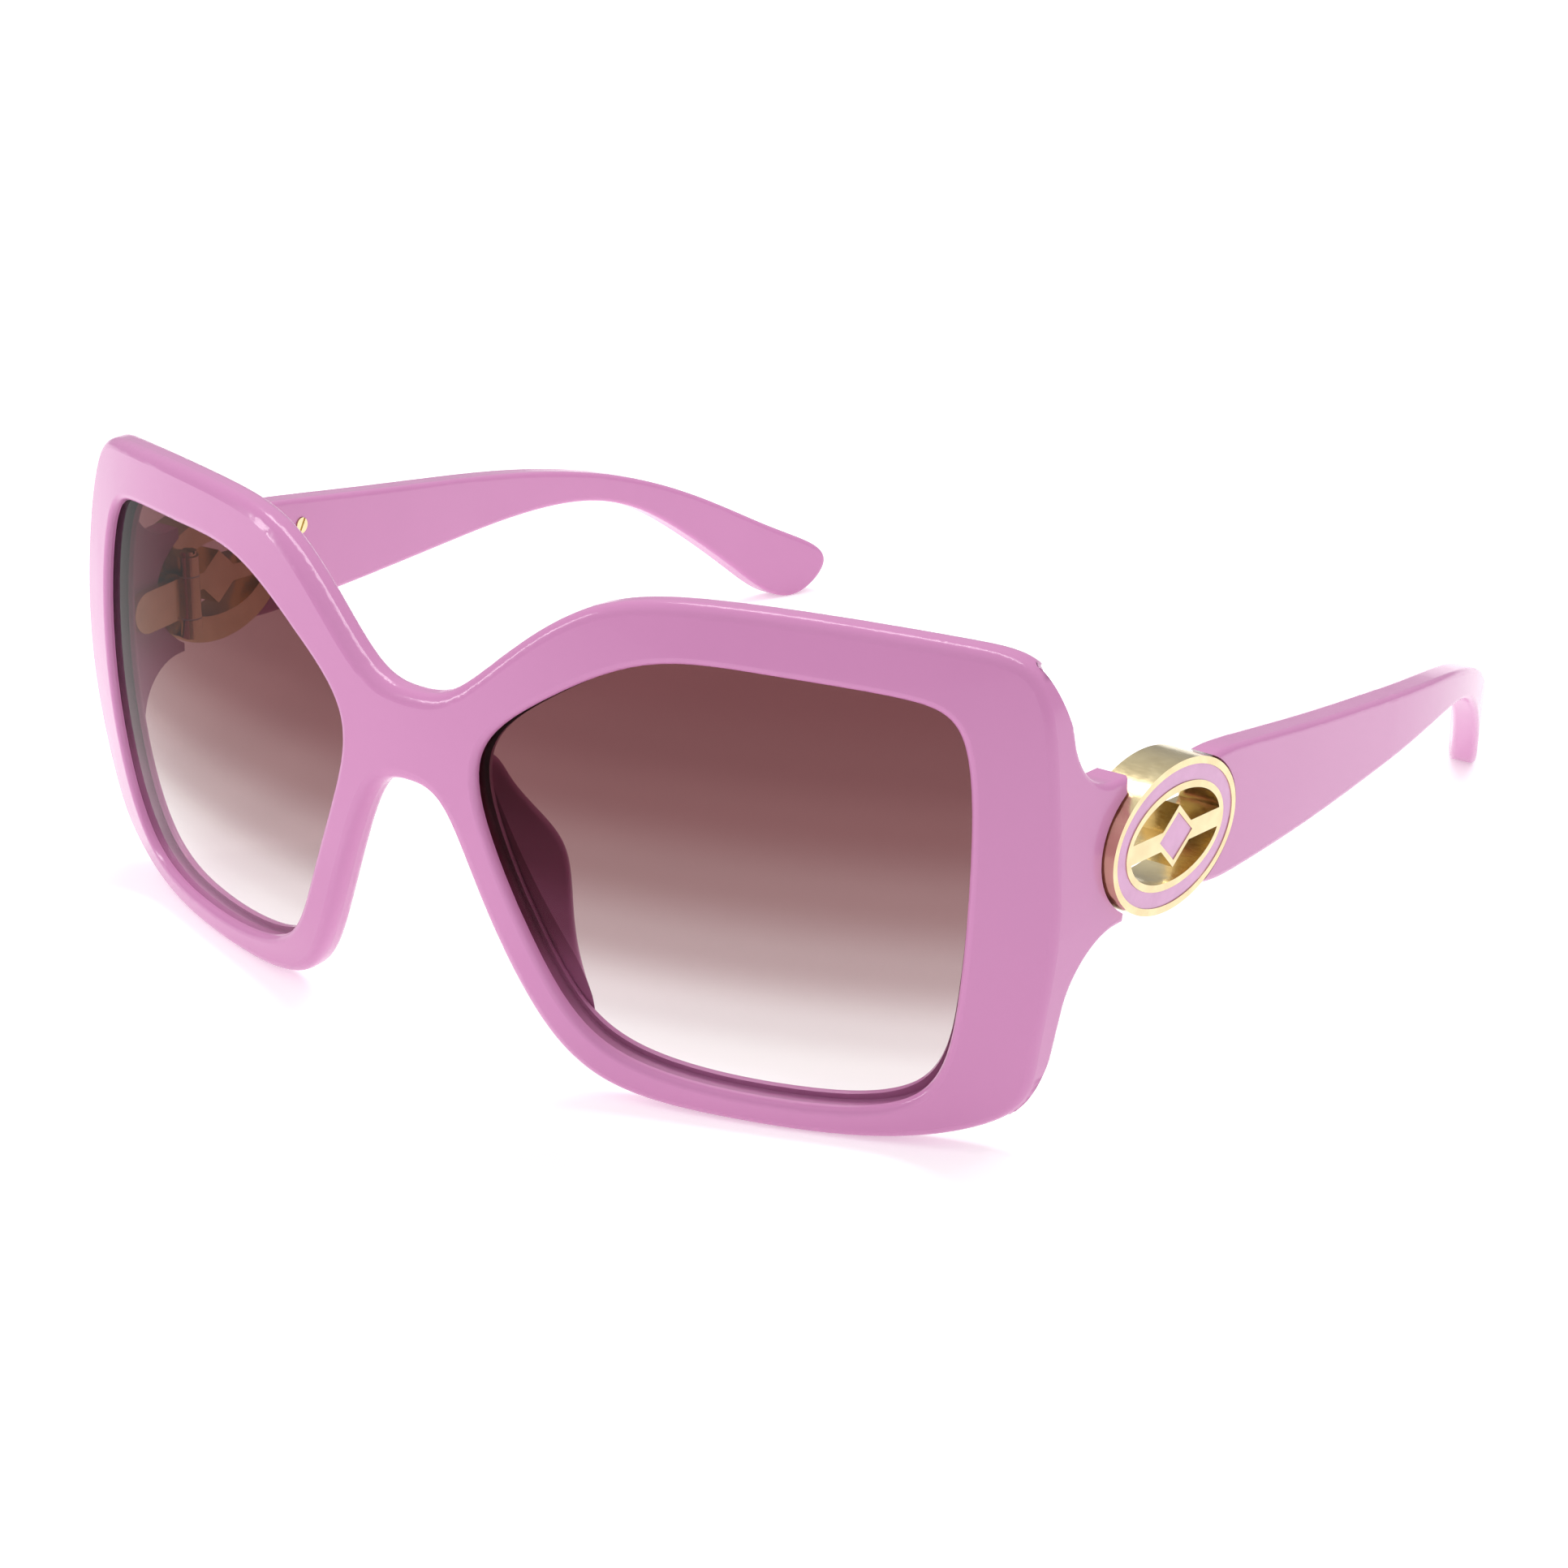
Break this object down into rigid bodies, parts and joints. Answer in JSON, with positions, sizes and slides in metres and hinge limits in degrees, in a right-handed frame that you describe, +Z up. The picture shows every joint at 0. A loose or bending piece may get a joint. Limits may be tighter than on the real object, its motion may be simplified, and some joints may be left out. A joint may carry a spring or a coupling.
{
  "type": "cat eye sunglasses",
  "caption": "Oversized cat eye sunglasses with gradient lenses, folding temples and openwork oval hinge emblems.",
  "frame": {"origin": "centre of the overall box at its bottom, the surface that the rims' lower edges and the temple tips stand on", "axes": "+X to the wearer's left, +Y back from the front towards the ears, +Z up; temples open"},
  "size_m": [0.1624, 0.1828, 0.0649],
  "materials": {
    "acetate": "polished opaque pink acetate",
    "lens": "brown to clear gradient tint, polished",
    "gold": "polished pale gold plating",
    "enamel": "smooth pink enamel",
    "washer": "plain nylon",
    "core": "drawn wire"
  },
  "bodies": {
    "front": {"front_frame": "acetate", "lens_left": "lens", "lens_right": "lens", "nose_pad_left": "acetate", "nose_pad_right": "acetate", "hinge_leaf_left": "gold", "hinge_leaf_right": "gold"},
    "left_temple": {"temple_left": "acetate", "temple_core_left": "core", "temple_screw_left": "gold", "hinge_emblem_left": "gold", "enamel_ring_left": "enamel", "enamel_lozenge_left": "enamel", "hinge_screw_left": "gold", "hinge_washers_left": "washer"},
    "right_temple": {"temple_right": "acetate", "temple_core_right": "core", "temple_screw_right": "gold", "hinge_emblem_right": "gold", "enamel_ring_right": "enamel", "enamel_lozenge_right": "enamel", "hinge_screw_right": "gold", "hinge_washers_right": "washer"}
  },
  "joints": [
    {"name": "left_temple_fold", "type": "hinge", "parent": "front", "child": "left_temple", "pos_m": [0.0713, -0.05452, 0.03555], "axis": [0, 0, 1], "range_deg": [0, 88]},
    {"name": "right_temple_fold", "type": "hinge", "parent": "front", "child": "right_temple", "pos_m": [-0.0713, -0.05452, 0.03555], "axis": [0, 0, -1], "range_deg": [0, 80]}
  ]
}
